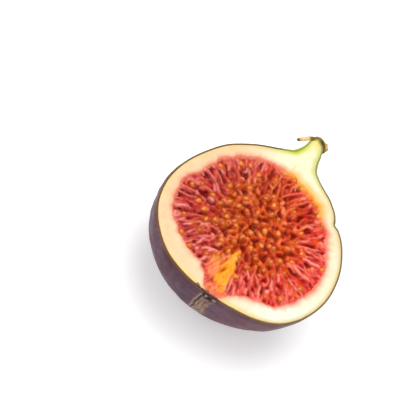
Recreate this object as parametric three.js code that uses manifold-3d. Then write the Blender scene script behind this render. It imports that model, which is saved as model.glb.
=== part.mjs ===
// Half of a ripe fresh fig, lying on its round skin with the cut face up.
// The fruit grew as one piece, so the half is one solid: belly, neck and stem stub.
// Millimetres, +Z up. The cut face is level, and the stem points to +Y.
// The origin is on the table, under the middle of the half's bounding box.
import * as THREE from "three";
import { ParametricGeometry } from "three/addons/geometries/ParametricGeometry.js";
import { mergeVertices } from "three/addons/utils/BufferGeometryUtils.js";
import Module from "manifold-3d";

const WIDTH = 52; // across the belly, on the cut face
const LENGTH = 56; // from the eye of the fig to the tip of its stem stub
const HEIGHT = 25.4; // from the table to the cut face
const SQUASH = 0.9; // how far the soft belly flattens where it lies on the table
const LEAN = 2; // how far the neck's back lies to the left of the cut through its middle

const LENGTHWAYS_STEPS = 66; // facets from the eye to the stem tip
const ROUND_STEPS = 60; // facets round the whole fruit, half of which stay

const SKIN = { color: 0x5a3a4c, roughness: 0.55, metalness: 0 };

// The three outlines run from the eye to the stem tip. Each point is a share of the driving
// dimensions: x of half the width, y of the length, and z, the depth, of the uncut half's depth.
const EYE = [-0.08, 0];
const TIP = [0.09, 1];
const LEFT = [
  EYE, [-0.35, 0.014], [-0.62, 0.057], [-0.83, 0.139], [-0.96, 0.238], [-1, 0.348], [-0.963, 0.464],
  [-0.848, 0.58], [-0.674, 0.693], [-0.425, 0.782], [-0.19, 0.84], [-0.05, 0.879], [0.01, 0.932],
  [0.035, 0.978], TIP,
];
const RIGHT = [
  EYE, [0.19, 0.009], [0.48, 0.034], [0.7, 0.084], [0.85, 0.157], [0.963, 0.262], [1, 0.37],
  [0.956, 0.5], [0.835, 0.615], [0.712, 0.671], [0.64, 0.702], [0.52, 0.764], [0.34, 0.812],
  [0.245, 0.846], [0.212, 0.886], [0.2, 0.93], [0.17, 0.974], TIP,
];
const BACK = [
  [0, 0], [0.003, 0.2], [0.009, 0.38], [0.035, 0.58], [0.11, 0.8], [0.24, 0.96], [0.38, 1], [0.52, 0.955],
  [0.642, 0.82], [0.736, 0.61], [0.804, 0.41], [0.857, 0.265], [0.905, 0.178], [0.955, 0.14],
  [0.99, 0.095], [1, 0],
];
const NECK_START = 0.72; // share of the outlines' length where the lean sets in

const left = outline(LEFT.map(([x, y]) => [(x * WIDTH) / 2, y * LENGTH, 0]));
const right = outline(RIGHT.map(([x, y]) => [(x * WIDTH) / 2, y * LENGTH, 0]));
const back = outline(BACK.map(([y, depth]) => [0, y * LENGTH, -depth * (HEIGHT + SQUASH)]));

const wasm = await Module();
wasm.setup();

function outline(points) {
  return new THREE.CatmullRomCurve3(points.map((p) => new THREE.Vector3(...p)));
}

// A point of the whole fruit's skin. Each ring passes through the left, back and right outlines.
function skinPoint(round, along, target) {
  const toLeft = left.getPointAt(along);
  const toRight = right.getPointAt(along);
  const toBack = back.getPointAt(along);
  const middle = toLeft.clone().add(toRight).multiplyScalar(0.5);
  toBack.x = middle.x - LEAN * THREE.MathUtils.smoothstep(along, NECK_START, 0.9) * (1 - along);
  const angle = round * 2 * Math.PI;
  target
    .copy(middle)
    .addScaledVector(toRight.sub(middle), Math.cos(angle))
    .addScaledVector(toBack.sub(middle), Math.sin(angle));
}

// A closed three.js geometry as a solid that can be cut.
function solidOf(geometry) {
  const bare = geometry.clone();
  bare.deleteAttribute("normal");
  bare.deleteAttribute("uv");
  const merged = mergeVertices(bare, 1e-4);
  const corners = merged.index.array;
  const triVerts = [];
  for (let i = 0; i < corners.length; i += 3) {
    const [a, b, c] = corners.slice(i, i + 3);
    if (a !== b && b !== c && c !== a) triVerts.push(a, b, c); // the poles fold some faces away
  }
  const vertProperties = merged.attributes.position.array;
  return new wasm.Manifold(
    new wasm.Mesh({ numProp: 3, vertProperties, triVerts: new Uint32Array(triVerts) }),
  );
}

function geometryOf(solid) {
  const mesh = solid.getMesh();
  const geometry = new THREE.BufferGeometry();
  geometry.setAttribute("position", new THREE.BufferAttribute(mesh.vertProperties, 3));
  geometry.setIndex(new THREE.BufferAttribute(mesh.triVerts, 1));
  geometry.computeVertexNormals();
  return geometry;
}

// A block wide enough to cut the whole fruit, with its lowest face at z.
function blockAbove(z) {
  const size = 4 * LENGTH;
  return solidOf(new THREE.BoxGeometry(size, size, size).translate(0, 0, z + size / 2));
}

function figHalf() {
  const whole = solidOf(new ParametricGeometry(skinPoint, ROUND_STEPS, LENGTHWAYS_STEPS));
  const cut = whole.subtract(blockAbove(0)).intersect(blockAbove(-HEIGHT));
  const mesh = new THREE.Mesh(geometryOf(cut), new THREE.MeshStandardMaterial(SKIN));
  mesh.name = "fig_half";
  mesh.position.set(0, -LENGTH / 2, HEIGHT);
  return mesh;
}

const part = new THREE.Group();
part.add(figHalf());

export default part;
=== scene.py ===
"""Looks of a halved fresh fig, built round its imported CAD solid: skin, rind, pulp, seeds and scales.

Blender 4.5. Metres, in the part's own frame: +Z out of the level cut face, +Y to the stem.
"""

import math

import bmesh
import bpy
import numpy as np
from mathutils import Matrix, Vector


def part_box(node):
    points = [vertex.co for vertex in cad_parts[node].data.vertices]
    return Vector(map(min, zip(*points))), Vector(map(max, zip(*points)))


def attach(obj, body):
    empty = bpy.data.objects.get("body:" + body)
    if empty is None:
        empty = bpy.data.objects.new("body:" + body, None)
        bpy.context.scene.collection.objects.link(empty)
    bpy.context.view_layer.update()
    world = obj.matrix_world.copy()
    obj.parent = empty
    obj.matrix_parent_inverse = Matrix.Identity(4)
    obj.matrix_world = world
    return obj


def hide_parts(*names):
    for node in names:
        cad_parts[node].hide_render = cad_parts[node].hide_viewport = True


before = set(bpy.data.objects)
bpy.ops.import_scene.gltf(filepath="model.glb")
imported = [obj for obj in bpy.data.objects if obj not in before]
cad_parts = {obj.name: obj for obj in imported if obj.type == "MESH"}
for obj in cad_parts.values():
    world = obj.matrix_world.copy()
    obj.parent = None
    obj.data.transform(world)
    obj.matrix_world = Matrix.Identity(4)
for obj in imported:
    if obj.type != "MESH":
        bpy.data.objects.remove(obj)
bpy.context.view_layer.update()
low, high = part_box("fig_half")

MM = 0.001
HALF_WIDTH = (high.x - low.x) / 2
LENGTH = high.y - low.y
HEIGHT = high.z - low.z
FACE_Z = high.z
FACE_MIDDLE = ((low.x + high.x) / 2, (low.y + high.y) / 2, FACE_Z)
SQUASH = 0.9 * MM  # how far the belly flattens on the table
LEAN = 2 * MM  # how far the neck's back lies to the left
RNG = np.random.default_rng(7)

# The outlines of the solid, from the eye to the stem tip, in shares of its half width, length
# and depth, as in part.mjs.
EYE = (-0.08, 0)
TIP = (0.09, 1)
LEFT = (
    EYE, (-0.35, 0.014), (-0.62, 0.057), (-0.83, 0.139), (-0.96, 0.238), (-1, 0.348), (-0.963, 0.464),
    (-0.848, 0.58), (-0.674, 0.693), (-0.425, 0.782), (-0.19, 0.84), (-0.05, 0.879), (0.01, 0.932),
    (0.035, 0.978), TIP,
)
RIGHT = (
    EYE, (0.19, 0.009), (0.48, 0.034), (0.7, 0.084), (0.85, 0.157), (0.963, 0.262), (1, 0.37),
    (0.956, 0.5), (0.835, 0.615), (0.712, 0.671), (0.64, 0.702), (0.52, 0.764), (0.34, 0.812),
    (0.245, 0.846), (0.212, 0.886), (0.2, 0.93), (0.17, 0.974), TIP,
)
BACK = (
    (0, 0), (0.003, 0.2), (0.009, 0.38), (0.035, 0.58), (0.11, 0.8), (0.24, 0.96), (0.38, 1), (0.52, 0.955),
    (0.642, 0.82), (0.736, 0.61), (0.804, 0.41), (0.857, 0.265), (0.905, 0.178), (0.955, 0.14),
    (0.99, 0.095), (1, 0),
)
NECK_START = 0.72
# Where the pulp meets the rind on the cut face, anticlockwise from the eye.
PULP_EDGE = (
    (0.06, 0.02), (0.13, 0.06), (0.29, 0.1), (0.44, 0.119), (0.58, 0.144), (0.71, 0.206), (0.794, 0.279),
    (0.844, 0.365), (0.839, 0.44), (0.791, 0.508), (0.713, 0.566), (0.668, 0.618), (0.553, 0.663),
    (0.457, 0.714), (0.328, 0.736), (0.205, 0.753), (0.07, 0.765), (-0.061, 0.761), (-0.193, 0.757),
    (-0.322, 0.736), (-0.513, 0.681), (-0.626, 0.633), (-0.713, 0.564), (-0.791, 0.485), (-0.87, 0.423),
    (-0.873, 0.362), (-0.845, 0.304), (-0.82, 0.262), (-0.744, 0.22), (-0.644, 0.179), (-0.545, 0.154),
    (-0.428, 0.128), (-0.305, 0.111), (-0.212, 0.076), (-0.155, 0.036), (-0.1, 0.013),
)
PULP_CENTRE = (0.0, 0.42)  # the small hollow that the florets point to
NOTCH = (0.712, 0.672)  # a crease in the right shoulder


def face_xy(share):
    """Points of the cut face, from shares of the half width and the length."""
    x, y = np.asarray(share, float).T
    return np.stack([FACE_MIDDLE[0] + x * HALF_WIDTH, low.y + y * LENGTH], -1)


def face_share(xy):
    """Where points of the cut face lie, in shares of the half width and the length."""
    return (xy - np.array([0, low.y])) / np.array([HALF_WIDTH, LENGTH])


def level_points(xy):
    """Points of the cut face with a third coordinate of 0, for noise."""
    return np.concatenate([xy, 0 * xy[..., :1]], -1)


def rise(x, start, end):
    """From 0 at start to 1 at end."""
    t = np.clip((np.asarray(x, float) - start) / (end - start), 0, 1)
    return t * t * (3 - 2 * t)


def fall(x, start, end):
    """From 1 at start to 0 at end."""
    return 1 - rise(x, start, end)


def bell(x, width):
    """1 where x is 0, falling to nothing on both sides."""
    return np.exp(-((x / width) ** 2))


def unit(v):
    return v / np.maximum(np.linalg.norm(v, axis=-1, keepdims=True), 1e-12)


def left_of(v):
    """Vectors (n, 2) turned left by a right angle."""
    return np.stack([-v[:, 1], v[:, 0]], -1)


def turned(v, angle):
    """Vectors (n, 2), each turned left by its angle."""
    cos, sin = np.cos(angle), np.sin(angle)
    return np.stack([v[:, 0] * cos - v[:, 1] * sin, v[:, 0] * sin + v[:, 1] * cos], -1)


def catmull_rom(points, closed=False, per_span=40):
    """A dense centripetal Catmull-Rom curve, the kind that three.js draws."""
    p = np.asarray(points, float)
    if closed:
        p = np.vstack([p[-1:], p, p[:2]])
    else:
        p = np.vstack([2 * p[0] - p[1], p, 2 * p[-1] - p[-2]])
    u = np.linspace(0, 1, per_span, endpoint=False)[:, None]
    spans = []
    for a, b, c, d in zip(p, p[1:], p[2:], p[3:]):
        ab, bc, cd = (max(np.linalg.norm(v) ** 0.5, 1e-9) for v in (b - a, c - b, d - c))
        start = ((b - a) / ab - (c - a) / (ab + bc) + (c - b) / bc) * bc
        end = ((c - b) / bc - (d - b) / (bc + cd) + (d - c) / cd) * bc
        square = -3 * b + 3 * c - 2 * start - end
        cube = 2 * b - 2 * c + start + end
        spans.append(b + u * start + u**2 * square + u**3 * cube)
    last = p[1:2] if closed else p[-2:-1]
    return np.vstack([*spans, last])


def along_curve(curve, shares):
    """Points at these shares of a dense curve's length."""
    steps = np.linalg.norm(np.diff(curve, axis=0), axis=1)
    length = np.concatenate([[0], np.cumsum(steps)])
    return np.stack([np.interp(np.asarray(shares) * length[-1], length, c) for c in curve.T], -1)


LEFT_CURVE = catmull_rom(face_xy(LEFT))
RIGHT_CURVE = catmull_rom(face_xy(RIGHT))
BACK_CURVE = catmull_rom([(low.y + y * LENGTH, FACE_Z - d * (HEIGHT + SQUASH)) for y, d in BACK])


def skin_points(along, around):
    """Points of the smooth skin. along runs from the eye, 0, to the stem tip, 1; around runs from
    the right edge of the cut face, 0, under the belly to the left edge, 1."""
    left, right, back = (along_curve(c, along) for c in (LEFT_CURVE, RIGHT_CURVE, BACK_CURVE))
    middle = (left + right) / 2
    half = (right - left) / 2
    lean = LEAN * rise(along, NECK_START, 0.9) * (1 - along)
    cos, sin = np.cos(np.pi * around), np.sin(np.pi * around)
    return np.stack([
        middle[..., 0] + half[..., 0] * cos - lean * sin,
        middle[..., 1] + half[..., 1] * cos + (back[..., 0] - middle[..., 1]) * sin,
        FACE_Z + (back[..., 1] - FACE_Z) * sin,
    ], -1)


# ------------------------------------------------------------------------------- noise and colour

GRADIENTS = unit(RNG.normal(size=(256, 3)))
HASHED = RNG.permutation(256)


def noise(points, size, seed=0):
    """Smooth gradient noise, about -1 to 1, with features of this size. size may be one per axis."""
    p = np.asarray(points, float) / size + 17.3 * (seed + 1)
    cell = np.floor(p).astype(int)
    f = p - cell
    fade = f * f * f * (f * (f * 6 - 15) + 10)
    total = 0
    for corner in np.ndindex(2, 2, 2):
        c = cell + corner
        pick = HASHED[(HASHED[(HASHED[c[..., 0] & 255] + c[..., 1]) & 255] + c[..., 2]) & 255]
        weight = np.where(corner, fade, 1 - fade).prod(-1)
        total = total + weight * (GRADIENTS[pick] * (f - corner)).sum(-1)
    return total * 1.6


def rough_noise(points, size, seed=0, layers=3):
    """Layers of noise, each half the size and half the height of the last."""
    return sum(noise(points, np.asarray(size) / 2**k, seed + 7 * k) / 2**k for k in range(layers))


def plane(x, y):
    """Places on a plane of any two measures, for noise."""
    return np.stack([x, y, 0 * x], -1)


def colour(red, green, blue):
    """A linear colour from sRGB values of 0 to 255."""
    c = np.array([red, green, blue]) / 255
    return np.where(c <= 0.04045, c / 12.92, ((c + 0.055) / 1.055) ** 2.4)


def blend(a, b, share):
    """From a, at share 0, to b, at 1."""
    share = np.clip(share, 0, 1)[..., None]
    return a * (1 - share) + b * share


def layered(c, *layers):
    """The colour c under layers, each a colour with the share it covers."""
    for tone, share in layers:
        c = blend(c, tone, share)
    return c


# --------------------------------------------------------------------------- meshes and materials

MERGE_DISTANCE = 0.001 * MM
WRINKLE = 0.9 * MM  # the size of a tube's unevenness
QUAD = ((0, 0), (0, 1), (1, 1), (1, 0))  # the corners of a cell, by row and column
FLIPPED = ((0, 0), (1, 0), (1, 1), (0, 1))  # the other way round


def cell_corners(grid, order=QUAD, axis=0):
    """The four corners of each cell of a grid, whose rows and columns are its axes from axis on."""
    rows, columns = grid.shape[axis:axis + 2]
    before = (slice(None),) * axis
    parts = [grid[(*before, slice(r, rows - 1 + r), slice(c, columns - 1 + c))] for r, c in order]
    return np.stack(parts, axis + 2)


class Surface:
    """Patches of points with faces, a colour at each point and a place on the UV map."""

    def __init__(self):
        self.points, self.shades, self.faces, self.places, self.count = [], [], [], [], 0

    def add(self, points, shade):
        points = np.asarray(points, float)
        ids = self.count + np.arange(points[..., 0].size).reshape(points.shape[:-1])
        self.points.append(points.reshape(-1, 3))
        self.shades.append(np.broadcast_to(shade, points.shape).reshape(-1, 3))
        self.count += ids.size
        return ids

    def face(self, corners, places):
        """Faces, as ids (..., 3 or 4), with their corners' places on the UV map."""
        self.faces.append(corners.reshape(-1, corners.shape[-1]))
        self.places.append(places.reshape(-1, 2))

    def grid(self, points, shade, tile, wrap=False, order=QUAD):
        """Quads over rows and columns of points, on a tile of the UV map: its left, bottom, right
        and top. With wrap, the last column joins the first."""
        ids = self.add(points, shade)
        joined = np.concatenate([ids, ids[:, :1]], 1) if wrap else ids
        rows, columns = joined.shape
        u = tile[0] + (tile[2] - tile[0]) * np.linspace(0, 1, columns)
        v = tile[1] + (tile[3] - tile[1]) * np.linspace(0, 1, rows)
        place = np.stack(np.meshgrid(u, v), -1)
        self.face(cell_corners(joined, order), cell_corners(place, order))
        return ids

    def fan(self, ring, centre, shade, tile, flip=False):
        """Triangles from a closed ring of ids to a centre point."""
        hub = np.broadcast_to(self.add(np.asarray(centre)[None], shade), ring.shape)
        after = np.roll(ring, -1)
        angle = np.linspace(0, 2 * np.pi, len(ring) + 1)
        edge = 0.5 + 0.5 * np.stack([np.cos(angle), np.sin(angle)], -1)
        middle = np.full((len(ring), 2), 0.5)
        corners = [hub, after, ring] if flip else [hub, ring, after]
        places = [middle, edge[1:], edge[:-1]] if flip else [middle, edge[:-1], edge[1:]]
        tile = np.asarray(tile, float)
        self.face(np.stack(corners, 1), tile[:2] + (tile[2:] - tile[:2]) * np.stack(places, 1))

    def tubes(self, centres, radii, shade, sides, reference=(0, 0, 1), wrinkle=0.0):
        """Closed tubes along centres (tubes, rings, 3), with radii across and up (tubes, rings, 2)
        and shades (tubes, rings, 3). Each tube has a tile of its own on the UV map. wrinkle is the
        share of the radii by which the surface is uneven."""
        many, rings = centres.shape[:2]
        forward = unit(np.gradient(centres, axis=1))
        across = unit(np.cross(forward, np.asarray(reference, float)))
        up = np.cross(across, forward)
        angle = np.linspace(0, 2 * np.pi, sides, endpoint=False)[:, None]
        inner = slice(1, -1)
        out = (
            np.cos(angle) * across[:, :, None] * radii[:, :, None, :1]
            + np.sin(angle) * up[:, :, None] * radii[:, :, None, 1:]
        )[:, inner]
        points = centres[:, inner, None] + out
        if wrinkle:
            points = points + wrinkle * rough_noise(points, WRINKLE, 95)[..., None] * out
        ids = self.add(points, shade[:, inner, None])
        ids = np.concatenate([ids, ids[..., :1]], 2)
        start, end = (self.add(centres[:, k], shade[:, k])[:, None] for k in (0, -1))
        tiles = math.ceil(math.sqrt(many))
        corner = np.stack([np.arange(many) % tiles, np.arange(many) // tiles], -1) / tiles
        u, v = np.linspace(0.04, 0.96, sides + 1), np.linspace(0.04, 0.96, rings)
        place = np.stack(np.meshgrid(u, v), -1)[None] / tiles + corner[:, None, None]
        near = place[:, inner]
        self.face(cell_corners(ids, axis=1), cell_corners(near, axis=1))
        for pole, row, pair in ((start, 0, (1, 0)), (end, -1, (0, 1))):
            hub = np.broadcast_to(pole, (many, sides))
            self.face(
                np.stack([hub, *(ids[:, row, k:sides + k] for k in pair)], 2),
                np.stack([place[:, row, :-1], *(near[:, row, k:sides + k] for k in pair)], 2),
            )

    def piece(self, name, material, slot, merge=False):
        """The finished object, riding on the part's only body in the place of the CAD solid."""
        faces = [face for part in self.faces for face in part.tolist()]
        shades = np.concatenate(self.shades)
        mesh = bpy.data.meshes.new(name)
        mesh.from_pydata(np.concatenate(self.points), [], faces, shade_flat=False)
        uv = mesh.uv_layers.new(name="OFBake")
        uv.data.foreach_set("uv", np.concatenate(self.places).astype(np.float32).ravel())
        shade = mesh.attributes.new("shade", "FLOAT_COLOR", "POINT")
        shade.data.foreach_set("color", np.c_[shades, np.ones(len(shades))].astype(np.float32).ravel())
        whole = bmesh.new()
        whole.from_mesh(mesh)
        if merge:
            bmesh.ops.remove_doubles(whole, verts=whole.verts, dist=MERGE_DISTANCE)
        bmesh.ops.recalc_face_normals(whole, faces=whole.faces)
        whole.to_mesh(mesh)
        whole.free()
        mesh.materials.append(material)
        obj = bpy.data.objects.new(name, mesh)
        bpy.context.scene.collection.objects.link(obj)
        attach(obj, "root")
        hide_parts("fig_half")


class Look:
    """A Principled material whose base colour is the piece's own "shade"."""

    def __init__(self, name, **finish):
        self.material = bpy.data.materials.new(name)
        self.material.use_nodes = True
        self.nodes, self.links = self.material.node_tree.nodes, self.material.node_tree.links
        self.inputs = self.nodes["Principled BSDF"].inputs
        for socket, value in finish.items():
            self.inputs[socket.replace("_", " ")].default_value = value
        shade = self.nodes.new("ShaderNodeAttribute")
        shade.attribute_name = "shade"
        self.links.new(shade.outputs["Color"], self.inputs["Base Color"])

    def texture(self, kind, size):
        """A procedural texture with features of this size, in metres."""
        where = self.nodes.new("ShaderNodeTexCoord")
        node = self.nodes.new(kind)
        node.inputs["Scale"].default_value = 1 / size
        self.links.new(where.outputs["Object"], node.inputs["Vector"])
        return node

    def clouds(self, size, detail):
        """Cloudy noise, as a socket."""
        node = self.texture("ShaderNodeTexNoise", size)
        node.inputs["Detail"].default_value = detail
        return node.outputs["Fac"]

    def level(self, value, span, results):
        """value, a socket, changed smoothly so that the span's ends become the results."""
        node = self.nodes.new("ShaderNodeMapRange")
        node.interpolation_type = "SMOOTHSTEP"
        for name, number in zip(("From Min", "From Max", "To Min", "To Max"), (*span, *results)):
            node.inputs[name].default_value = number
        self.links.new(value, node.inputs["Value"])
        return node.outputs["Result"]

    def tint(self, value, span, shares, tone, blend_type="MULTIPLY"):
        """Lays a tone over the base colour, by shares that follow value over a span."""
        share = self.level(value, span, shares)
        mix = self.nodes.new("ShaderNodeMix")
        mix.data_type = "RGBA"
        mix.blend_type = blend_type
        self.links.new(share, mix.inputs["Factor"])
        self.links.new(self.inputs["Base Color"].links[0].from_socket, mix.inputs["A"])
        mix.inputs["B"].default_value = (*tone, 1)
        self.links.new(mix.outputs["Result"], self.inputs["Base Color"])

    def bump(self, height, distance, strength):
        node = self.nodes.new("ShaderNodeBump")
        node.inputs["Distance"].default_value = distance
        node.inputs["Strength"].default_value = strength
        self.links.new(height, node.inputs["Height"])
        self.links.new(node.outputs["Normal"], self.inputs["Normal"])


def clouded(name, size, detail, span, share, tone, height, strength, **finish):
    """A material with one layer of cloudy noise, which tints it and makes it uneven."""
    look = Look(name, **finish)
    cloudy = look.clouds(size, detail)
    look.tint(cloudy, span, (0, share), tone)
    look.bump(cloudy, height, strength)
    return look.material


# ------------------------------------------------------------------------------------------- skin

SKIN_ROWS, SKIN_COLUMNS = 330, 230  # from the eye to the tip, and round the belly
RECESS = 2 * MM  # how deep the flesh sits in the skin piece
NECK_GREEN = 0.9  # where the skin turns green, as a share of its length
SCAR_LEFT, SCAR_RIGHT = -2.1, 0.6  # its sides, across from the middle of the fruit, in mm
SCAR_TOP, SCAR_FOOT = 0.5, 13.5  # its ends, below the cut face, in mm
CRACK_DEPTH, LIP_HEIGHT = 0.2, 0.16  # in mm
CREASE_DEPTH = 0.62  # in mm
RIB_HIGHLIGHT = 1400  # how fast the painted highlight turns the skin mauve up its ribs, in shares per metre
RIM_STEPS = ((0, 0), (0.1, 0.05), (0.26, 0.05), (0.42, -0.02), (0.46, -RECESS / MM))  # in and up, in mm


def closed_loop(grid):
    """The rim of a skin grid: up its first column and back down its last."""
    return np.concatenate([grid[:, 0], grid[-2:0:-1, -1]])


def inset(loop, distance, height=0.0):
    """The rim's loop moved into the cut face and up."""
    along = np.roll(loop, -2, 0) - np.roll(loop, 2, 0)
    moved = loop + level_points(unit(left_of(along))) * distance
    moved[:, 2] = FACE_Z + height
    return moved


def skin_relief(points, along, around):
    """How far the skin stands out from the smooth solid, with its ribs, dents and neck wrinkles."""
    wander = 0.35 * noise(plane(along * 6, around * 2), 1, 2)
    ribs = 1 - np.abs(noise(plane(around * 17 + wander, along * 1.3), 1, 3)) * 2
    fine_ribs = 1 - np.abs(noise(plane(around * 46 + 2 * wander, along * 3.5), 1, 4)) * 2
    ends = rise(along, 0.06, 0.34) * fall(along, 0.93, 1)
    neck = rise(along, 0.55, 0.85)
    dents = rough_noise(points, 9 * MM, 5)
    pebbles = noise(points, 1.1 * MM, 6)
    return ends * MM * (
        (0.13 + 0.14 * neck) * ribs + (0.03 + 0.07 * neck) * fine_ribs + 0.22 * dents + 0.02 * pebbles
    )


def crease(points):
    """How far the skin is pinched in along the shoulder's crease."""
    depth = (FACE_Z - points[..., 2]) / MM
    away = (points[..., 1] - face_xy(NOTCH)[1]) / MM + 0.35 * depth
    pinch = bell(away - 0.5, 0.75) - 0.55 * bell(away - 2.6, 1.5)
    return CREASE_DEPTH * MM * pinch * fall(depth, 1, 7) * (points[..., 0] > 0)


def scar_share(points):
    """Where the dry tan scar lies on the skin under the eye, and the dark crack along its left
    side, as shares of 0 to 1, with how far the crack's lips stand out."""
    down = (FACE_Z - points[..., 2]) / MM
    edge = 0.22 * noise(points, 1.3 * MM, 31) + 0.3 * np.sin(down / 2.8)
    across = points[..., 0] / MM + edge
    here = (points[..., 1] < low.y + 0.3 * LENGTH) * rise(down, SCAR_TOP, SCAR_TOP + 0.6)
    here = here * fall(down + 2 * edge, SCAR_FOOT - 1, SCAR_FOOT)
    fade = 0.8 * noise(points, 0.8 * MM, 33)
    right = SCAR_RIGHT + 0.06 * down
    scar = rise(across, SCAR_LEFT, SCAR_LEFT + 0.1) * fall(across + fade, right - 0.6, right + 0.9)
    crack = bell(across - SCAR_LEFT, 0.24)
    lip = bell(across - SCAR_LEFT + 0.55, 0.3)
    return scar * here, crack * here, lip * here


def skin_grid():
    """The skin's points with their relief, and each point's place along and around it."""
    along, around = np.meshgrid(
        np.linspace(0, 1, SKIN_ROWS + 1), np.linspace(0, 1, SKIN_COLUMNS + 1), indexing="ij"
    )
    smooth = skin_points(along.ravel(), around.ravel()).reshape(*along.shape, 3)
    outward = unit(np.cross(np.gradient(smooth, axis=1), np.gradient(smooth, axis=0)))
    at_rim = rise(np.minimum(around, 1 - around), 0, 0.02)
    _, crack, lip = scar_share(smooth)
    relief = skin_relief(smooth, along, around) + (LIP_HEIGHT * lip - CRACK_DEPTH * crack) * MM
    grid = smooth + outward * (relief * (0.35 + 0.65 * at_rim) - crease(smooth))[..., None]
    grid[[0, -1]] = smooth[[0, -1]]
    grid[:, [0, -1], 2] = FACE_Z
    grid[..., 2] = np.maximum(grid[..., 2], low.z)
    return grid, along, around, relief


SKIN, ALONG, AROUND, RELIEF = skin_grid()
RIM = closed_loop(SKIN)


def skin_shade(points, along, around, relief):
    """The skin's colour: purple with a grey bloom, a painted highlight on the ribs' tops, redder between the
    ribs, green at the neck.
    """
    streaks = rough_noise(plane(around * 30, along * 2.2), 1, 11)
    streaks = streaks * (0.35 + 0.65 * rise(along, 0.1, 0.4))
    mottle = rough_noise(points, 5 * MM, 12)
    dust = rough_noise(points, 11 * MM, 13)
    patches = rough_noise(points, 1.8 * MM, 14)
    violet = rough_noise(points, 1.4 * MM, 16)
    red = noise(points, (2.5 * MM, 4 * MM, 2.5 * MM), 15)
    depth = (FACE_Z - points[..., 2]) / MM
    purple = blend(colour(38, 10, 26), colour(88, 30, 54), 0.5 + 0.3 * streaks + 0.3 * mottle + 0.4 * patches)
    body = layered(
        purple,
        (colour(84, 56, 80), 0.3 + 0.5 * dust - 0.2 * streaks + 0.2 * patches),  # grey bloom
        (colour(116, 60, 84), 0.5 * np.clip(RIB_HIGHLIGHT * relief + 0.3 * streaks, 0, 0.6)),  # rib tops: painted highlight on what stands out, with the skin's own streaks
        (colour(124, 44, 64), 0.35 * rise(violet, 0.2, 0.8)),
        (colour(112, 40, 44), 0.35 * rise(red, 0.35, 0.75)),
        (colour(128, 68, 82), 0.4 * rise(points[..., 0], -3 * MM, 14 * MM)),  # rosy right side
        (colour(74, 26, 40), 0.5 * fall(depth, 0.4, 4)),
        (colour(116, 70, 44), 0.8 * fall(depth, 0.05, 1.0)),  # brown just under the cut
    )
    place = along + 0.03 * streaks + 0.01 * mottle
    by_rim = fall(np.minimum(around, 1 - around), 0.02, 0.14)
    green = blend(colour(176, 166, 122), colour(158, 170, 74), by_rim)
    return layered(
        body,
        (colour(138, 84, 106), rise(along, 0.55, 0.82) * (0.4 + 0.5 * streaks)),  # paler shoulder
        (colour(160, 134, 110), rise(place, NECK_GREEN - 0.08, NECK_GREEN)),
        (green, rise(place, NECK_GREEN - 0.04, NECK_GREEN + 0.04)),
        (colour(140, 110, 52), 0.7 * rise(along + 0.02 * mottle, 0.955, 0.99)),  # dry stem end
    )


def rim_shade():
    """The colour of the skin where the knife went through it."""
    x, y = face_share(RIM[:, :2]).T
    right = rise(RIM[:, 0], 0, 3 * MM)
    brown = blend(colour(116, 76, 34), colour(122, 102, 60), rise(x, -0.3, 0.7))
    green = blend(colour(152, 166, 36), colour(152, 148, 88), right)
    return layered(
        brown,
        (green, rise(y, 0.83 - 0.07 * right, 0.86 - 0.02 * right)),
        (colour(70, 26, 24), 0.9 * eye_share(RIM[:, :2])),
    )


def make_skin():
    surface = Surface()
    scar, crack, lip = scar_share(SKIN)
    grain = noise(SKIN, (0.4 * MM, 3 * MM, 3 * MM), 32)
    shade = layered(
        skin_shade(SKIN, ALONG, AROUND, RELIEF),
        (blend(colour(104, 70, 60), colour(160, 128, 98), 0.5 + 1.2 * grain), 0.9 * scar),
        (colour(172, 138, 116), 0.7 * lip),
        (colour(54, 34, 4), rise(crack, 0.1, 0.5)),
    )
    surface.grid(SKIN, shade, (0, 0.12, 1, 1), order=FLIPPED)
    rows = np.stack([inset(RIM, across * MM, up * MM) for across, up in RIM_STEPS])
    ids = surface.grid(rows, rim_shade(), (0, 0, 1, 0.05), wrap=True)
    surface.fan(ids[-1], (*CENTRE_XY, FACE_Z - RECESS), colour(90, 50, 60), (0, 0.05, 0.07, 0.12))
    surface.piece("fig_skin", skin_material(), "skin", merge=True)


def skin_material():
    look = Look(
        "fig_skin", Specular_IOR_Level=0.2, Sheen_Weight=0.05, Sheen_Roughness=0.35,
        Sheen_Tint=(0.8, 0.68, 0.82, 1), Coat_Weight=0.03, Coat_Roughness=0.3,
    )
    specks = look.texture("ShaderNodeTexVoronoi", 1.5 * MM).outputs["Distance"]
    look.tint(specks, (0.045, 0.1), (0.55, 0), colour(190, 165, 160), "MIX")
    fine = look.clouds(0.5 * MM, 4)
    look.tint(fine, (0.48, 0.75), (0, 0.45), colour(44, 20, 34), "MIX")
    dull = look.level(look.clouds(4 * MM, 3), (0.3, 0.7), (0.42, 0.6))
    look.links.new(dull, look.inputs["Roughness"])
    look.bump(fine, 0.05 * MM, 0.8)
    return look.material


# ------------------------------------------------------------------------------------------- rind

RIND_ROWS = 26
RIND_UNDERLAP = ((0.25, 0.2), (0.6, 0.55), (1.1, 1.0), (1.8, 1.4), (2.6, 1.6))  # in and down, in mm
RIND_FOOT = 0.95 * RECESS  # how deep the rind's flat underside lies
CENTRE_XY = face_xy(PULP_CENTRE)
EDGE_CURVE = catmull_rom(face_xy(PULP_EDGE), closed=True, per_span=20)


def polar(xy):
    """Angle and distance of points from the pulp's centre."""
    offset = xy - CENTRE_XY
    return np.arctan2(offset[..., 1], offset[..., 0]), np.linalg.norm(offset, axis=-1)


EDGE_ANGLE, EDGE_DISTANCE = polar(EDGE_CURVE)
EDGE_ORDER = np.argsort(EDGE_ANGLE)


def edge_distance(angle):
    """How far the pulp reaches from its centre at an angle."""
    smooth = np.interp(angle, EDGE_ANGLE[EDGE_ORDER], EDGE_DISTANCE[EDGE_ORDER], period=2 * np.pi)
    ring = plane(np.cos(angle), np.sin(angle))
    return smooth + MM * (0.45 * rough_noise(ring, 0.12, 41) * rise(smooth, 4 * MM, 12 * MM))


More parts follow.
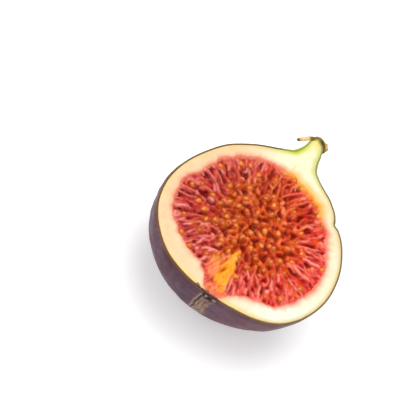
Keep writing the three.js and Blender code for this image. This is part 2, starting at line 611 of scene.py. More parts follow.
def beside_line(xy, start, end):
    """How far along a line of the cut face points lie, from 0 to 1, and how far from it. The
    line's ends are in shares of the half width and the length."""
    start, end = face_xy([start, end])
    along = np.clip(((xy - start) @ (end - start)) / ((end - start) @ (end - start)), 0, 1)
    return along, np.linalg.norm(xy - start - along[..., None] * (end - start), axis=-1)


def eye_share(xy):
    """Where the dark bracts of the eye are cut through, from 0 to 1."""
    _, away = beside_line(xy, (-0.2, 0.003), (0.04, 0.0))
    return fall(away / MM + 0.7 * noise(level_points(xy), 0.7 * MM, 46), 0.5, 1.1)


def neck_side(xy):
    """Where the pulp ends in yellow below the neck, from 0 to 1."""
    x, y = np.moveaxis(face_share(xy), -1, 0)
    return rise(x, -0.14, 0.1) * fall(x, 0.5, 0.68) * rise(y, 0.6, 0.7)


def pulp_edge_shade(xy):
    """The pink or orange that stains the rind next to the pulp."""
    return blend(colour(244, 136, 108), colour(252, 178, 64), neck_side(xy))


def rind_shade(xy):
    """The colour of the cream flesh, whiter at the neck and on the right, and how far the pulp
    stains it, from 0 to 1."""
    angle, distance = polar(xy)
    x, y = np.moveaxis(face_share(xy), -1, 0)
    paler = 0.42 + 0.62 * x + 0.2 * noise(level_points(xy), 8 * MM, 42)
    whiter = rise(y, 0.68, 0.8) * (0.2 + 0.8 * rise(x, -0.4, -0.05))
    ray = plane(angle * 14, distance / (3 * MM))
    reach = 1.6 + 0.7 * noise(ray, 1, 43) + 0.35 * noise(ray * (3, 1, 1), 1, 44) + 1.5 * neck_side(xy)
    stained = fall((distance - edge_distance(angle)) / MM, -0.6, reach) ** 1.4
    flesh = layered(
        blend(colour(230, 194, 146), colour(242, 228, 192), paler),
        (colour(244, 237, 216), rise(x, 0.1, 0.6) * fall(y, 0.15, 0.4)),
        (colour(242, 236, 198), whiter),
    )
    return flesh, stained


def rim_distance(xy):
    """The distance from each point to the nearest point of the skin's rim, by parts."""
    rim = RIM[::3, :2]
    parts = np.array_split(xy.reshape(-1, 2), 40)
    nearest = [np.sqrt(((part[:, None] - rim) ** 2).sum(-1)).min(1) for part in parts]
    return np.concatenate(nearest).reshape(xy.shape[:-1])


def make_rind():
    outer = inset(RIM, 0.4 * MM)[:, :2]
    angle, _ = polar(outer)
    ray = np.stack([np.cos(angle), np.sin(angle)], -1)
    edge = CENTRE_XY + ray * edge_distance(angle)[:, None]
    ring = outer + (edge - outer) * np.linspace(0, 1, RIND_ROWS)[:, None, None]
    under, sink = np.array(RIND_UNDERLAP).T
    top = np.concatenate([ring, edge - ray * under[:, None, None] * MM])
    place = level_points(top)
    gap = rim_distance(top) / MM
    uneven = 0.06 * rough_noise(place, 5 * MM, 44) + 0.012 * rough_noise(place, 0.8 * MM, 45)
    height = MM * (0.1 * rise(gap, 0.4, 1.7) + uneven)
    height[0] = -0.02 * MM
    height[RIND_ROWS:] -= sink[:, None] * MM
    height[RIND_ROWS - 1] -= 0.03 * MM
    flesh, stained = rind_shade(top)
    y = face_share(top)[..., 1]
    neck = rise(y, 0.74, 0.84)
    left = rise(-top[..., 0], -3 * MM, 1 * MM) * rise(y, 0.835, 0.87)
    green = blend(colour(206, 206, 108), colour(172, 178, 20), left)
    by_skin = fall(gap, 0.4, 1.6 + 0.8 * neck - 0.3 * left)
    shade = layered(
        flesh,
        (colour(240, 230, 96), left * fall(gap, 0.8, 2.8)),
        (blend(colour(224, 194, 122), green, neck), (0.85 + 0.1 * left) * by_skin),
        (colour(236, 206, 104), 0.7 * fall(y, 0.02, 0.09) * fall(gap, 0.6, 2.2)),  # by the eye
        (pulp_edge_shade(top), stained),
        (colour(234, 212, 104), 0.75 * rise(y + 0.02 * noise(place, 1.5 * MM, 47), 0.9, 0.98)),
        (colour(96, 24, 12), 0.95 * eye_share(top)),
    )
    surface = Surface()
    points = np.concatenate([top, FACE_Z + height[..., None]], -1)
    ids = surface.grid(points, shade, (0, 0.1, 1, 1), wrap=True)
    surface.fan(ids[-1], (*CENTRE_XY, FACE_Z - sink[-1] * MM), colour(150, 30, 20), (0, 0, 0.1, 0.1))
    foot = inset(RIM, 0.5 * MM, -RIND_FOOT)
    cream = colour(226, 204, 128)
    wall = surface.grid(np.stack([foot, points[0]]), cream, (0.2, 0, 1, 0.05), wrap=True)
    surface.fan(wall[0], (*CENTRE_XY, FACE_Z - RIND_FOOT), cream, (0.1, 0, 0.2, 0.1), flip=True)
    surface.piece("fig_rind", rind_material(), "rind", merge=True)


def rind_material():
    look = Look(
        "fig_rind", Roughness=0.38, Subsurface_Weight=0.25, Subsurface_Scale=1.5 * MM,
        Subsurface_Radius=(1.0, 0.7, 0.35), Coat_Weight=0.15, Coat_Roughness=0.2,
    )
    look.tint(look.clouds(3 * MM, 4), (0.45, 0.8), (0, 0.35), colour(238, 214, 150))
    grain = look.clouds(0.35 * MM, 3)
    look.tint(grain, (0.55, 0.8), (0, 0.2), colour(240, 220, 160))
    look.bump(grain, 0.03 * MM, 0.6)
    return look.material


# ------------------------------------------------------------------------------------------- pulp

BED_STEP = 0.125 * MM
BED_MARGIN = 0.45  # how far the pulp goes on under the rind's edge, in mm
BED_FOOT = FACE_Z - 1.85 * MM
VALLEY = -1.0  # the floor between the florets, from the cut face, in mm
RING = 4 * MM  # the rings of stretched noise, which blend into each other
RIDGE_SAMPLES = 56
RIDGE_DROP = 1.2  # how far a ridge falls from its crest to its foot, in shares of its half width
RIDGE_CODE = 2**20  # more than the number of crest points
SLANT = np.array([[0.93, 0.37], [-0.37, 0.93]])  # turns the wedge's tear off the fruit's axis
# From pale crests to dark gaps, in the outer pulp and in the inner; the palest are also laid on as painted
# highlight and the darkest as painted shade.
PALE, PINK, CORAL = colour(255, 166, 150), colour(230, 88, 70), colour(204, 38, 18)
RED, DEEP = colour(182, 15, 3), colour(116, 4, 0)
PEACH, SALMON, AMBER = colour(250, 144, 84), colour(228, 100, 34), colour(194, 70, 3)
RUST, UMBER = colour(166, 36, 0), colour(112, 14, 0)
HONEY = colour(254, 168, 20)
LEFT_TONE, RIGHT_TONE = np.array([0.92, 1.02, 1.12]), np.array([1.2, 1.02, 0.95])  # bluer to redder
# What scatter takes, then lengths, half widths, turn aside in radians, heights of the crest,
# paleness, and redness of the sides as painted shade. Sizes are in mm.
FLORETS = (
    ((230, 0.95, 0, 1, 0.5, 0.95), (4.0, 9.0), (0.45, 0.85), 0.1, (-0.6, 0.05), 0.0, 0.95),  # by the wall
    ((70, 1.5, 1, 0.4, 0.5, 0.9), (1.8, 3.6), (0.45, 0.75), 0.55, (-0.6, -0.05), 0.0, 0.9),  # inner
    ((190, 0.55, 0, 1, 0.86, 0.93), (1.6, 4.0), (0.34, 0.55), 0.15, (-0.5, 0.0), 0.05, 0.85),  # rim
    ((300, 0.95, 1, 0.07, 0.4, 0.75), (0.9, 2.0), (0.65, 0.95), 0.9, (-0.5, 0.05), -0.1, 0.5),  # drops
    ((16, 3.5, 0, 1, 0.1, 0.4), (2.4, 3.6), (0.75, 1.0), 0.4, (-0.35, 0.0), 0.25, 0.6),  # lobes
)
SEEDS_SCATTER = (74, 2.2, 1, 0.28, 0.35, 0.85)
SCATTER_LIMIT = 0.96  # how far out florets and seeds start, as a share of the way to the wall
SMOOTH_LIMIT = 0.7  # where the flesh is smoother than this there are none
BED_REACH = EDGE_DISTANCE.max() + MM  # of the grid that the pulp is cut from, to each side


def stretched(xy, across, along, seed):
    """Noise drawn out along the lines from the centre, in folds this wide and this long."""
    angle, distance = polar(xy)
    place = level_points(xy)
    swirl = 0.9 * MM * noise(place, 4.5 * MM, seed) + 0.35 * MM * noise(place, 1.8 * MM, seed + 1)
    ring = np.round(distance / RING)
    total, weights = 0, 0
    for step in (-1, 0, 1):  # the number of folds grows outward, so neighbouring rings are blended
        at = ring + step
        weight = np.clip(1 - np.abs(distance / RING - at), 0, 1)
        turns = np.maximum(at, 0.5) * RING / across
        folded = np.stack([
            np.cos(angle) * turns + swirl / across, np.sin(angle) * turns + swirl / across,
            distance / along + 9 * at,
        ], -1)
        total = total + weight * noise(folded, 1, seed + 2)
        weights = weights + weight
    return total / weights


def wedge_share(xy, ragged=0.0):
    """Where the yellow fibrous wedge lies, from 0 to 1. ragged moves its edge out."""
    along, away = beside_line(xy, (-0.013, 0.28), (-0.025, 0.11))
    width = (0.3 + 1.0 * rise(along, 0, 0.75)) * MM
    spot = np.linalg.norm(xy - face_xy((0.03, 0.068)), axis=-1) - ragged
    return np.maximum(fall(away - ragged, width, 1.9 * width), 0.9 - rise(spot, 0.5 * MM, 1.3 * MM))


def peach_share(xy):
    """Where smooth peach-coloured walls lie, beside the wedge and down to the eye."""
    beside = np.linalg.norm((xy - face_xy((-0.12, 0.15))) / np.array([3.6, 4.6]) / MM, axis=-1)
    eye = np.linalg.norm((xy - face_xy((-0.02, 0.045))) / np.array([3.6, 2.6]) / MM, axis=-1)
    return fall(np.minimum(beside, eye), 0.45, 1.1)


def redness(xy):
    """How far the reds of the outer pulp have taken over from the ambers of the inner."""
    angle, distance = polar(xy)
    outward = distance / edge_distance(angle)
    to_neck = rise((xy[..., 1] - CENTRE_XY[1]) / LENGTH, 0.02, 0.3)
    return rise(outward - 0.22 * to_neck + 0.2 * noise(level_points(xy), 4 * MM, 51), 0.4, 0.82)


def scatter(many, apart, at_centre, at_wall, start, end):
    """Points in the pulp at least this many mm apart, kept with a chance that goes from at_centre
    to at_wall between these shares of the way out."""
    kept = np.empty((0, 2))
    reach = EDGE_DISTANCE.max()
    while len(kept) < many:
        xy = CENTRE_XY + RNG.uniform(-reach, reach, 2)
        angle, distance = polar(xy)
        outward = distance / edge_distance(angle)
        density = at_centre + (at_wall - at_centre) * rise(outward, start, end)
        bare = max(wedge_share(xy), 0.75 * peach_share(xy))
        if outward < SCATTER_LIMIT and RNG.random() < density * (1 - bare) and bare < SMOOTH_LIMIT:
            if not len(kept) or np.linalg.norm(kept - xy, axis=1).min() > apart * MM:
                kept = np.vstack([kept, xy])
    return kept


def sway(xy):
    """The shared waviness of neighbouring strands, as a shift across the face."""
    place = level_points(xy)
    shift = [
        0.85 * noise(place, 4.2 * MM, seed) + 0.4 * noise(place, 1.7 * MM, seed + 1) for seed in (80, 90)
    ]
    return MM * np.stack(shift, -1)


def strand_lines(start, turn, length, wave, lift, arch, rings=11):
    """Centre lines of strands that run from start towards the centre, turned by an angle."""
    many = len(start)
    t = np.linspace(0, 1, rings)
    heading = turned(unit(CENTRE_XY - start), turn)
    phase, beats = RNG.uniform(0, 2 * np.pi, many), RNG.uniform(0.5, 1.5, many)
    swing = np.sin(2 * np.pi * beats[:, None] * t + phase[:, None]) * wave[:, None] * (0.3 + 0.7 * t)
    curl = (RNG.normal(0, 0.14, many) * length)[:, None] * t**2
    ahead = heading[:, None] * (length[:, None] * t)[..., None]
    xy = start[:, None] + ahead + left_of(heading)[:, None] * (swing + curl)[..., None]
    z = FACE_Z + lift[:, None] + arch[:, None] * np.sin(np.pi * t) ** 0.8
    return np.concatenate([xy + sway(xy), z[..., None]], -1)


def ridge_shades(crests, plain, flank_share=0.95):
    """Each ridge's crest and flank colours, by where it lies and a share of its own: red to pale
    pink by the wall, rust to salmon in the middle. The flank is the crest's tone darkened towards
    red as painted shade, which leaves a painted highlight along the crest."""
    outer = redness(crests[..., :2])
    own = RNG.random(len(crests))[:, None] + plain
    crest = layered(
        blend(RUST, RED, outer),
        (blend(AMBER, CORAL, outer), rise(own, 0, 0.35)),
        (blend(SALMON, PINK, outer), rise(own, 0.3, 0.65)),
        (blend(PEACH, PALE, outer), rise(own, 0.66, 0.92)),
    )
    return crest, blend(crest, blend(RUST, RED, outer), flank_share + 0 * outer)


def dense(lines):
    """Lines (n, rings, ...) with RIDGE_SAMPLES points each."""
    rings = lines.shape[1]
    at = np.linspace(0, rings - 1, RIDGE_SAMPLES)
    lower = np.minimum(at.astype(int), rings - 2)
    part = (at - lower).reshape(-1, *[1] * (lines.ndim - 2))
    return lines[:, lower] * (1 - part) + lines[:, lower + 1] * part


def all_ridges(seeds):
    """Every floret as points along its crest: place, half width, crest colour, flank colour."""
    starts = [scatter(*kind[0]) for kind in FLORETS]
    found = []
    t = np.linspace(0, 1, RIDGE_SAMPLES)
    for start, (_, lengths, widths, wild, levels, plain, flank_share) in zip(starts, FLORETS):
        many = len(start)
        length = RNG.uniform(*lengths, many) * MM
        start = start + unit(start - CENTRE_XY) * length[:, None] * 0.4
        angle, distance = polar(start)
        past = np.maximum(distance - edge_distance(angle) - RNG.uniform(-0.2, 0.4, many) * MM, 0)
        start = start - unit(start - CENTRE_XY) * past[:, None]
        crests = dense(strand_lines(
            start, RNG.normal(0, wild, many), length, RNG.uniform(0.08, 0.5, many) * MM,
            RNG.uniform(*levels, many) * MM, RNG.uniform(0.0, 0.35, many) * MM,
        ))
        swell = 0.45 + 0.55 * np.sin(np.pi * t) ** 0.6
        knots = 1 + 0.12 * dense(RNG.normal(size=(many, 9)))
        half = RNG.uniform(*widths, many)[:, None] * MM * swell * knots
        crests[..., 2] -= 0.35 * MM * np.abs(2 * t - 1) ** 4
        found.append((crests, half, *ridge_shades(crests, plain, flank_share)))
    found += pouch_lips(seeds)
    return [np.concatenate([kind[k].reshape(-1, *kind[k].shape[2:]) for kind in found]) for k in range(4)]


def pouch_lips(seeds):
    """The walls of each seed's pouch, as ridges: two lips that part round the seed and close again,
    over an orange floor."""
    t = np.linspace(0, 1, RIDGE_SAMPLES)
    many = len(seeds)
    tail = turned(unit(seeds[:, :2] - CENTRE_XY), RNG.normal(0, 0.5, many))
    side = left_of(tail)
    reach = RNG.uniform(0.8, 3.2, many) * MM
    radius = RNG.uniform(0.9, 1.25, many) * MM
    floor = np.broadcast_to((seeds + (0, 0, 0.05 * MM))[:, None], (many, RIDGE_SAMPLES, 3))
    orange, rust = (np.broadcast_to(tone, floor.shape) for tone in (colour(206, 96, 20), RUST))
    found = [(floor, np.full(floor.shape[:2], 1.2 * MM), orange, rust)]
    inner = 1 - redness(seeds[:, :2])
    tail_share = 0.35  # of each lip, and the rest is an arc round the seed
    arc = np.pi * np.clip(t - tail_share, 0, 1 - tail_share) / (1 - tail_share)
    run = np.where(t < tail_share, 1 - t / tail_share, 0)[None] * reach[:, None]
    along = run + radius[:, None] * np.where(t > tail_share, np.cos(arc), 1)
    bow = radius[:, None] * np.where(t > tail_share, np.sin(arc), 0)
    for hand in (-1, 1):
        across = bow * RNG.uniform(0.8, 1.05, many)[:, None] + 0.1 * MM
        xy = seeds[:, None, :2] + tail[:, None] * along[..., None] + hand * side[:, None] * across[..., None]
        xy = xy + 0.5 * (sway(xy) - sway(seeds[:, None, :2]))
        lift = RNG.uniform(-0.35, 0.3, many) - 0.45 * inner
        z = seeds[:, 2:] + MM * (lift[:, None] - 0.3 * fall(t, 0, 0.3))
        crests = np.concatenate([xy, z[..., None]], -1)
        half = RNG.uniform(0.3, 0.46, many)[:, None] * MM * (0.6 + 0.4 * np.sin(np.pi * t))
        found.append((crests, half, *ridge_shades(crests, 0.15)))
    return found


def highest_ridge(xy, crests, halves):
    """For each point of the bed, the highest ridge over it: which point of the crests, (n, 3), it
    comes from, its height, and the place across the ridge, from 0 at the crest to 1 at its foot.
    Where there is no ridge the first is -1."""
    cell = np.round((crests[:, :2] - xy[0, 0]) / BED_STEP).astype(int)
    reach = math.ceil(halves.max() / BED_STEP)
    number = np.arange(len(crests), dtype=np.int64)
    best = np.full(xy.shape[:2], -1, np.int64)
    for step in np.ndindex(2 * reach + 1, 2 * reach + 1):
        at = cell + np.array(step) - reach
        away = np.linalg.norm(xy[0, 0] + at * BED_STEP - crests[:, :2], axis=1) / halves
        near = (away < 1) & (at >= 0).all(1) & (at < len(xy)).all(1)
        level = crests[:, 2] - RIDGE_DROP * halves * away**2 - (FACE_Z - 4 * MM)
        key = np.round(level / (0.0001 * MM)).astype(np.int64) * RIDGE_CODE + number
        np.maximum.at(best, (at[near, 1], at[near, 0]), key[near])
    winner = np.where(best < 0, 0, best % RIDGE_CODE)
    away = np.clip(np.linalg.norm(xy - crests[winner, :2], axis=-1) / halves[winner], 0, 1)
    height = crests[winner, 2] - RIDGE_DROP * halves[winner] * away**2
    return np.where(best < 0, -1, winner), height, away


def soften(grid, times):
    """The grid blurred over its neighbours this many times."""
    for _ in range(times):
        for axis in (0, 1):
            grid = (np.roll(grid, 1, axis) + 2 * grid + np.roll(grid, -1, axis)) / 4
    return grid


def ridge_bed(xy, seeds, lumps, fibres):
    """The height and colour of the florets and seed pouches, and of the gaps between them, with painted shade
    in the recesses and painted highlight and sheen on what stands up.
    """
    crests, halves, crest_shade, flank_shade = all_ridges(seeds)
    winner, height, away = highest_ridge(xy, crests, halves)
    bare = winner < 0
    valley = FACE_Z + MM * (VALLEY + 0.2 * lumps)
    height = np.where(bare, valley, np.maximum(height, valley))
    height = soften(height, 5) + 0.02 * MM * fibres
    stand = (height - soften(height, 40)) / MM  # over what lies round it, which sets the painted shade and highlight
    outer = redness(xy)
    # dark colours the bare gaps, the painted shade in recesses and the dark between fibres; pale is the
    # painted highlight and sheen
    dark, pale = blend(UMBER, DEEP, outer), blend(PEACH, PALE, outer)
    # painted highlight along each crest, fading to painted shade down its flanks
    ridges = blend(crest_shade[winner], flank_shade[winner], rise(away, 0.0, 0.6))
    # painted sheen along the fibres, on what stands up
    sheen = (0.04 + 0.24 * outer) * rise(fibres, 0.5, 0.95) * rise(stand, -0.1, 0.15)
    to_seed = np.sqrt(((xy[..., None, :] - seeds[:, :2]) ** 2).sum(-1)).min(-1) / MM
    seed_orange = blend(colour(200, 84, 4), colour(208, 80, 16), outer)
    c = layered(
        np.where(bare[..., None], dark, ridges),
        # painted shade where the pulp lies lower than what is round it
        (dark, 0.97 * rise(-stand, -0.03, 0.2)),
        # painted highlight where it stands up
        (pale, (0.25 + 0.4 * outer) * rise(stand, 0.16, 0.4)),
        # painted sheen along the fibres where they stand up
        (pale, sheen),
        (dark, 0.4 * rise(-fibres, -0.1, 0.5)),
        (seed_orange, 0.85 * fall(to_seed + 0.22 * outer, 0.8, 1.5)),
    )
    to_right = rise((xy[..., 0] - CENTRE_XY[0]) / HALF_WIDTH, -0.7, 0.7)
    return height, np.minimum(c * blend(LEFT_TONE, RIGHT_TONE, to_right), 1)


def make_bed(seeds):
    """The pulp's own surface, one jelly-like skin over florets, seed pouches and drops."""
    ticks = np.arange(-BED_REACH, BED_REACH, BED_STEP)
    xy = np.stack(np.meshgrid(ticks, ticks), -1) + CENTRE_XY
    angle, distance = polar(xy)
    place = level_points(xy)
    margin = (edge_distance(angle) - distance) / MM
    lumps = noise(place, 1.6 * MM, 70)
    fibres = 1 - 2 * np.abs(stretched(xy, 0.5 * MM, 2.6 * MM, 65))
    streaks = stretched(xy, 0.5 * MM, 3 * MM, 68)
    yellow = wedge_share(xy, MM * (0.45 * noise(place, 1.3 * MM, 48) + 0.35 * streaks))
    torn = (xy - face_xy((-0.05, 0.155))) @ SLANT / np.array([0.28, 1.3]) / MM
    torn = bell(np.linalg.norm(torn, axis=-1), 1)
    hollow = bell(distance * (1 + 0.5 * noise(place, 1.5 * MM, 74)), 1.1 * MM)
    height, c = ridge_bed(xy, seeds, lumps, fibres)
    to_centre = rise(face_share(xy)[..., 1], 0.14, 0.2)
    flesh = blend(colour(238, 88, 48), colour(252, 160, 100), 0.5 + 1.3 * streaks)
    amber_flesh = blend(colour(216, 96, 14), colour(250, 176, 60), 0.5 + 1.5 * streaks)
    honey = blend(colour(244, 128, 16), HONEY, 0.6 + 0.5 * fibres)
    c = layered(
        c,
        (blend(flesh, amber_flesh, to_centre), 0.9 * peach_share(xy)),
        (blend(honey, colour(255, 196, 60), 0.6 * lumps * fibres), 0.95 * yellow),
        # painted shade in the centre's small hollow
        (UMBER, 0.85 * hollow),
        (RUST, torn),
        (colour(240, 150, 40), 0.6 * neck_side(xy) * fall(margin - 0.8 * lumps, 0.8, 2.6)),
        (pulp_edge_shade(xy), 0.95 * fall(margin + 0.35 * fibres, 0.1, 1.3)),
        (colour(120, 30, 14), 0.85 * eye_share(xy)),
    )
    calm = np.maximum(yellow, peach_share(xy))
    height = height + (FACE_Z - (0.4 - 0.22 * fibres) * MM - height) * 0.75 * calm
    height = FACE_Z - 0.08 * MM + (height - FACE_Z) * rise(margin, -0.05, 0.9)
    height -= MM * (0.6 * fall(margin, -BED_MARGIN, 0.0) + 0.7 * torn + 0.8 * hollow)
    surface = bed_surface(xy, height, soften(c, 3), margin > -BED_MARGIN)
    surface.piece("fig_pulp", pulp_material(), "pulp")


def bed_surface(xy, height, shade, inside):
    """A closed surface over the grid's cells that lie wholly inside."""
    surface = Surface()
    cells = cell_corners(inside).all(2)
    used = np.zeros(inside.shape, bool)
    for row, column in QUAD:
        used[row:len(used) - 1 + row, column:len(used) - 1 + column] |= cells
    ids = np.full(used.shape, -1)
    ids[used] = surface.add(np.concatenate([xy, height[..., None]], -1)[used], shade[used])
    uv = 0.02 + 0.96 * (xy - xy.min((0, 1))) / (2 * BED_REACH)
    uv[..., 1] = 0.06 + 0.94 * uv[..., 1]
    quads = cell_corners(ids)[cells]
    surface.face(quads, cell_corners(uv)[cells])
    close_below(surface, quads)
    return surface


def close_below(surface, quads):
    """A wall down from the open edge of some quads, and a flat base under them."""
    edges = np.concatenate([quads[:, [k, (k + 1) % 4]] for k in range(4)])
    key = edges.min(1) * (surface.count + 1) + edges.max(1)
    _, first, times = np.unique(key, return_index=True, return_counts=True)
    rim = edges[first[times == 1]]  # the edges with a quad on one side only
    base = np.unique(rim)
    foot_points = np.concatenate(surface.points)[base]
    foot_points[:, 2] = BED_FOOT
    lower = dict(zip(base, surface.add(foot_points, DEEP)))
    low_rim = np.array([[lower[a], lower[b]] for a, b in rim])
    hub = surface.add([[*CENTRE_XY, BED_FOOT]], DEEP)[0]
    steps = np.linspace(0.02, 0.98, len(rim) + 1)
    left, right = steps[:-1], steps[1:]

    def row(u, v):
        return np.stack([u, np.full(len(rim), v)], -1)

    wall = np.stack([rim[:, 1], rim[:, 0], low_rim[:, 0], low_rim[:, 1]], 1)
    surface.face(wall, np.stack([row(right, 0.04), row(left, 0.04), row(left, 0.02), row(right, 0.02)], 1))
    bottom = np.stack([low_rim[:, 1], low_rim[:, 0], np.full(len(rim), hub)], 1)
    surface.face(bottom, np.stack([row(right, 0.02), row(left, 0.02), row((left + right) / 2, 0.0)], 1))


def pulp_material():
    return clouded(
        "fig_pulp", 0.6 * MM, 4, (0.42, 0.75), 0.35, colour(214, 84, 50), 0.04 * MM, 0.5,
        Roughness=0.3, Subsurface_Weight=0.3, Subsurface_Scale=0.7 * MM, Subsurface_Radius=(1.0, 0.3, 0.15),
        Coat_Weight=0.1, Coat_Roughness=0.15, Specular_IOR_Level=0.12,
    )


def seed_places():
    xy = scatter(*SEEDS_SCATTER)
    return np.c_[xy, FACE_Z + RNG.uniform(-0.85, -0.2, len(xy)) * MM]


def make_seeds(seeds):
    """Golden, slightly flattened seeds with a pointed end."""
    many, rings = len(seeds), 11
    t = np.linspace(0, 1, rings)
    half = RNG.uniform(0.78, 1.02, many) * MM
    turn = RNG.uniform(0, 2 * np.pi, many)
    tilt = RNG.normal(0, 0.3, many)
    axis = np.stack([np.cos(turn) * np.cos(tilt), np.sin(turn) * np.cos(tilt), np.sin(tilt)], -1)
    lines = seeds[:, None] + axis[:, None] * (half[:, None] * -np.cos(np.pi * t))[..., None]
    swell = np.sin(np.pi * t) * (1.0 - 0.3 * np.cos(np.pi * t))
    swell[[0, -1]] = 0.02
    radii = (half[:, None] * swell)[..., None] * (0.76, 0.72)
    own = RNG.random(many)[:, None]
    shade = layered(
        blend(colour(196, 80, 6), colour(238, 134, 30), own + 0 * t),
        (colour(246, 172, 92), 0.5 * rise(own, 0.88, 1) + 0 * t),
        (colour(176, 70, 8), 0.75 * np.abs(2 * t - 1) ** 4 + 0 * own),
    )
    surface = Surface()
    surface.tubes(lines, radii, shade, 12)
    surface.piece("fig_seeds", seed_material(), "seeds")


def seed_material():
    return clouded(
        "fig_seeds", 0.25 * MM, 2, (0.45, 0.8), 0.5, colour(214, 130, 60), 0.05 * MM, 0.6,
        Roughness=0.25, Subsurface_Weight=0.15, Subsurface_Scale=0.5 * MM, Subsurface_Radius=(1.0, 0.5, 0.15),
        Coat_Weight=0.45, Coat_Roughness=0.1,
    )


# ----------------------------------------------------------------------------------------- scales

BRACT_COUNT = 15
EYE_FRONT = -28.05  # the front of the eye's bracts, from the cut face's middle, in mm


def flake(surface, path, width, thickness, tones, reference=(0, 0, 1), rings=22, wrinkle=0.45):
    """A dry flake along a path of a few points in mm from the cut face's middle, as wide and as
    thick as its middle says, coloured from its first tone to its last."""
    t = np.linspace(0, 1, rings)
    line = along_curve(catmull_rom(np.array(path) * MM, per_span=12), t) + np.array(FACE_MIDDLE)
    swell = (0.7 + 0.3 * np.sin(np.pi * t)) * (1 - 0.98 * (np.abs(2 * t - 1) ** 14))
    radii = np.stack([width * swell, thickness * swell], -1) * MM / 2
    tone = np.stack([np.interp(t, np.linspace(0, 1, len(tones)), part) for part in np.array(tones).T], -1)
    surface.tubes(line[None], radii[None], tone[None], 16, reference=reference, wrinkle=wrinkle)


def scale_material(name):
    return clouded(
        name, 0.5 * MM, 4, (0.4, 0.75), 0.4, colour(110, 82, 40), 0.06 * MM, 0.7,
        Roughness=0.75, Specular_IOR_Level=0.3,
    )


def make_stem_scales():
    """The dry bract that curls off the stem's left, and the crust over the right of its end."""
    surface = Surface()
    tan, brown, soil = colour(238, 204, 144), colour(132, 98, 42), colour(124, 96, 16)
    olive, dark = colour(140, 124, 40), colour(92, 72, 26)
    curl = [(1.9, 27.7, -0.5), (0.9, 27.1, -0.1), (-0.8, 25.6, 0.1), (-2.6, 24.0, -0.2)]
    ring = [(1.2, 27.9, -0.5), (2.6, 28.3, -0.5), (4.2, 27.7, -0.6), (5.0, 26.6, -0.9), (5.3, 25.6, -1.3)]
    crust = [(3.9, 28.1, -0.2), (5.2, 27.6, -0.4), (5.6, 26.4, -0.8)]
    under = [(1.0, 27.9, -1.8), (2.8, 28.4, -2.3), (4.6, 27.4, -2.1), (5.2, 26.2, -1.9)]
    flake(surface, curl, 1.25, 0.9, [olive, *[soil] * 3, *[tan] * 4, brown, dark], wrinkle=0.14)
    flake(surface, ring, 1.1, 1.5, [olive, olive, dark, brown, brown], reference=(0.3, 0.3, 1))
    flake(surface, crust, 1.0, 1.0, [brown, tan, dark])
    flake(surface, under, 1.6, 1.2, [dark, brown, dark, brown])
    surface.piece("fig_stem_scales", scale_material("fig_stem_scales"), "stem_scale")


def make_eye_scales():
    """The small dry bracts that close the eye, overlapping just under the cut."""
    surface = Surface()
    dark, grey, plum = colour(66, 34, 40), colour(150, 132, 124), colour(100, 60, 70)
    middle = np.array([face_xy(EYE)[0] / MM + 1.3, -0.7])
    for _ in range(BRACT_COUNT):
        angle = RNG.uniform(-0.5, math.pi + 0.5)
        out = np.array([math.cos(angle), -math.sin(angle)])
        start = middle + out * RNG.uniform(0.1, 0.7)
        end = start + out * RNG.uniform(0.9, 1.6)
        if max(start[1], end[1]) > -0.1:
            continue
        front = EYE_FRONT - RNG.uniform(0, 0.15)
        tone = (dark, plum, grey)[RNG.integers(3)]
        half_x, half_z = (start + end) / 2
        path = [(start[0], front + 0.15, start[1]), (half_x, front - 0.12, half_z), (end[0], front, end[1])]
        flake(surface, path, 0.8, 0.3, [dark, tone, tone], reference=(0, 1, 0), rings=12)
    surface.piece("fig_eye_scales", scale_material("fig_eye_scales"), "stem_scale")


# ---------------------------------------------------------------------------------- camera, light

CAMERA_ELEVATION = math.radians(61)
CAMERA_AZIMUTH = math.radians(14.7)  # turned from +Y towards +X
CAMERA_ROLL = math.radians(48.3)
CAMERA_HALF_ANGLE = math.radians(3.5)
SEEN_WIDTH = 102.8 * MM  # at the cut face's distance, from side to side of the picture
FRUIT_RIGHT, FRUIT_DOWN = 16.2 * MM, 3.8 * MM  # of the picture's middle
FLOOR_HALF = 1.5
WHITE = (1, 1, 1, 1)


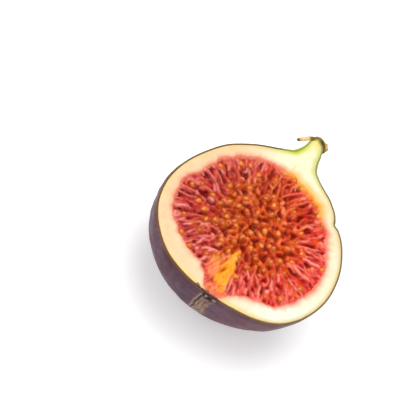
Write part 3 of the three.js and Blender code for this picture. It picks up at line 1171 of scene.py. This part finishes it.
def place_camera():
    data = bpy.data.cameras.new("camera")
    camera = bpy.data.objects.new("camera", data)
    bpy.context.scene.collection.objects.link(camera)
    data.lens = data.sensor_width / 2 / math.tan(CAMERA_HALF_ANGLE)
    data.clip_start, data.clip_end = 0.01, 10
    distance = SEEN_WIDTH / 2 / math.tan(CAMERA_HALF_ANGLE)
    camera.matrix_world = (
        Matrix.Translation(FACE_MIDDLE)
        @ Matrix.Rotation(-CAMERA_AZIMUTH, 4, "Z")
        @ Matrix.Rotation(math.pi / 2 - CAMERA_ELEVATION, 4, "X")
        @ Matrix.Rotation(CAMERA_ROLL, 4, "Z")
        @ Matrix.Translation((-FRUIT_RIGHT, FRUIT_DOWN, distance))
    )
    bpy.context.scene.camera = camera


def soft_light(name, azimuth, elevation, distance, size, power):
    """A square soft box aimed at the fruit. Azimuth 0 is at -Y and 90 at +X."""
    data = bpy.data.lights.new(name, "AREA")
    data.size, data.energy = size, power
    light = bpy.data.objects.new(name, data)
    bpy.context.scene.collection.objects.link(light)
    a, e = math.radians(azimuth), math.radians(elevation)
    back = Vector((math.sin(a) * math.cos(e), -math.cos(a) * math.cos(e), math.sin(e)))
    light.location = back * distance
    light.rotation_mode = "QUATERNION"
    light.rotation_quaternion = back.to_track_quat("Z", "Y")


def make_floor():
    """A wide, plain pale floor that the fruit lies on."""
    mesh = bmesh.new()
    bmesh.ops.create_grid(mesh, x_segments=2, y_segments=2, size=FLOOR_HALF)
    data = bpy.data.meshes.new("floor")
    mesh.to_mesh(data)
    mesh.free()
    floor = bpy.data.objects.new("floor", data)
    bpy.context.scene.collection.objects.link(floor)
    material = bpy.data.materials.new("floor")
    material.use_nodes = True
    inputs = material.node_tree.nodes["Principled BSDF"].inputs
    inputs["Base Color"].default_value = (0.94, 0.94, 0.94, 1)
    inputs["Roughness"].default_value = 0.6
    inputs["Emission Color"].default_value = WHITE
    inputs["Emission Strength"].default_value = 0.28
    floor.data.materials.append(material)


def light_scene():
    world = bpy.data.worlds.new("studio")
    world.use_nodes = True
    inputs = world.node_tree.nodes["Background"].inputs
    inputs["Color"].default_value = WHITE
    inputs["Strength"].default_value = 0.6
    bpy.context.scene.world = world
    bpy.context.scene.view_settings.view_transform = "Standard"
    soft_light("key", 205, 74, 0.6, 0.4, 2.0)
    soft_light("fill", -70, 40, 0.7, 0.4, 1.1)


place_camera()
light_scene()
make_floor()
make_skin()
make_rind()
SEEDS = seed_places()
make_bed(SEEDS)
make_seeds(SEEDS)
make_stem_scales()
make_eye_scales()
